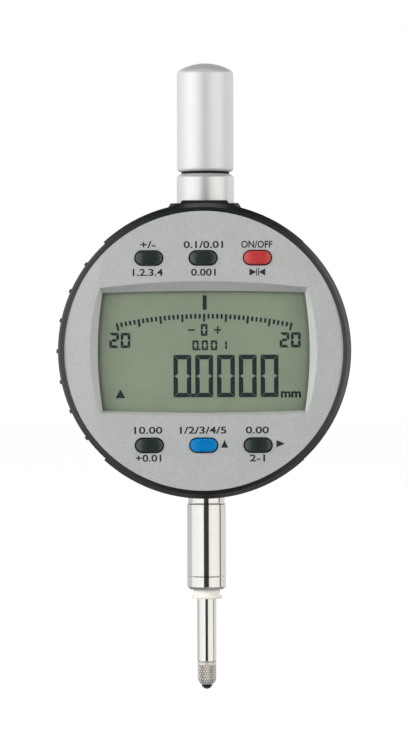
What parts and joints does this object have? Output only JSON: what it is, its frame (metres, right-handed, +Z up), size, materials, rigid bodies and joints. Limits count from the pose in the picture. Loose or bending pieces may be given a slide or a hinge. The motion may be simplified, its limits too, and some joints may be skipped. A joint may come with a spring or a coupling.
{
  "type": "digital indicator",
  "caption": "Round digital dial indicator with a turning display unit, key rows, clamping stem, sprung spindle with a ball contact point and a lift-off cap.",
  "frame": {"origin": "on the stem's axis, halfway along the stem's clamping length", "axes": "+Z up along the spindle, towards the cap; -Y out of the display; +X to its right"},
  "size_m": [0.0598, 0.0281, 0.1291],
  "materials": {
    "case_black": "matt black moulded plastic",
    "silver_paint": "fine-grained silver paint",
    "satin_aluminium": "satin turned aluminium",
    "polished_steel": "ground and polished steel",
    "screw_steel": "plain steel",
    "cell_steel": "nickelled steel can",
    "carbide_ball": "dark polished hard metal",
    "bush_brass": "turned brass",
    "ivory_plastic": "ivory plastic",
    "seal_rubber": "black rubber",
    "mat_rubber": "grey silicone rubber",
    "board_green": "green board",
    "scale_board": "etched board",
    "chip_black": "black moulding",
    "window_clear": "clear pane",
    "panel_green": "grey-green liquid crystal panel",
    "key_dark": "dark grey key",
    "key_red": "red key",
    "key_blue": "blue key"
  },
  "bodies": {
    "case": {"rear_housing": "case_black", "back_cover": "case_black", "back_cover_screws": "screw_steel", "stem": "polished_steel", "stem_end_bush": "polished_steel", "wiper_bush": "ivory_plastic", "upper_collar": "satin_aluminium", "upper_guide_bush": "bush_brass", "cap_seal": "seal_rubber", "retaining_ring": "satin_aluminium", "retaining_ring_screws": "screw_steel", "friction_ring": "seal_rubber", "sensor_board": "board_green", "sensor_board_screws": "screw_steel", "guide_rail": "screw_steel", "battery_cell": "cell_steel", "battery_contact": "bush_brass", "lid_seal": "seal_rubber", "return_spring": "screw_steel"},
    "display": {"bezel_ring": "case_black", "front_plate": "silver_paint", "lcd_window": "window_clear", "lcd_panel": "panel_green", "lcd_frame": "case_black", "lcd_connectors": "seal_rubber", "main_board": "board_green", "board_components": "chip_black", "key_mat_upper": "mat_rubber", "key_mat_lower": "mat_rubber", "display_back": "case_black", "display_screws": "screw_steel", "stop_pin": "screw_steel"},
    "plunger": {"spindle": "polished_steel", "contact_point": "polished_steel", "contact_ball": "carbide_ball", "scale_carrier": "satin_aluminium", "carrier_screw": "screw_steel", "guide_pin": "screw_steel", "measuring_scale": "scale_board"},
    "cap": {"protective_cap": "satin_aluminium"},
    "lid": {"battery_lid": "case_black"},
    "key_upper_left_body": {"key_upper_left": "key_dark"},
    "key_upper_middle_body": {"key_upper_middle": "key_dark"},
    "key_upper_right_body": {"key_upper_right": "key_red"},
    "key_lower_left_body": {"key_lower_left": "key_dark"},
    "key_lower_middle_body": {"key_lower_middle": "key_blue"},
    "key_lower_right_body": {"key_lower_right": "key_dark"}
  },
  "joints": [
    {"name": "plunger_slide", "type": "slide", "parent": "case", "child": "plunger", "axis": [0, 0, 1], "range_m": [0, 0.0125], "stiffness_N_per_m": 20, "springref_m": -0.0325, "deforming": ["return_spring"]},
    {"name": "display_turn", "type": "hinge", "parent": "case", "child": "display", "pos_m": [0, 0, 0.0391], "axis": [0, 1, 0], "range_deg": [-140, 140]},
    {"name": "cap_lift", "type": "slide", "parent": "case", "child": "cap", "axis": [0, 0, 1], "range_m": [0, 0.024]},
    {"name": "lid_lift", "type": "slide", "parent": "case", "child": "lid", "axis": [0, 1, 0], "range_m": [0, 0.008]},
    {"name": "key_upper_left_press", "type": "slide", "parent": "display", "child": "key_upper_left_body", "axis": [0, 1, 0], "range_m": [0, 0.0004], "stiffness_N_per_m": 1500, "springref_m": -0.0004},
    {"name": "key_upper_middle_press", "type": "slide", "parent": "display", "child": "key_upper_middle_body", "axis": [0, 1, 0], "range_m": [0, 0.0004], "stiffness_N_per_m": 1500, "springref_m": -0.0004},
    {"name": "key_upper_right_press", "type": "slide", "parent": "display", "child": "key_upper_right_body", "axis": [0, 1, 0], "range_m": [0, 0.0004], "stiffness_N_per_m": 1500, "springref_m": -0.0004},
    {"name": "key_lower_left_press", "type": "slide", "parent": "display", "child": "key_lower_left_body", "axis": [0, 1, 0], "range_m": [0, 0.0004], "stiffness_N_per_m": 1500, "springref_m": -0.0004},
    {"name": "key_lower_middle_press", "type": "slide", "parent": "display", "child": "key_lower_middle_body", "axis": [0, 1, 0], "range_m": [0, 0.0004], "stiffness_N_per_m": 1500, "springref_m": -0.0004},
    {"name": "key_lower_right_press", "type": "slide", "parent": "display", "child": "key_lower_right_body", "axis": [0, 1, 0], "range_m": [0, 0.0004], "stiffness_N_per_m": 1500, "springref_m": -0.0004}
  ]
}
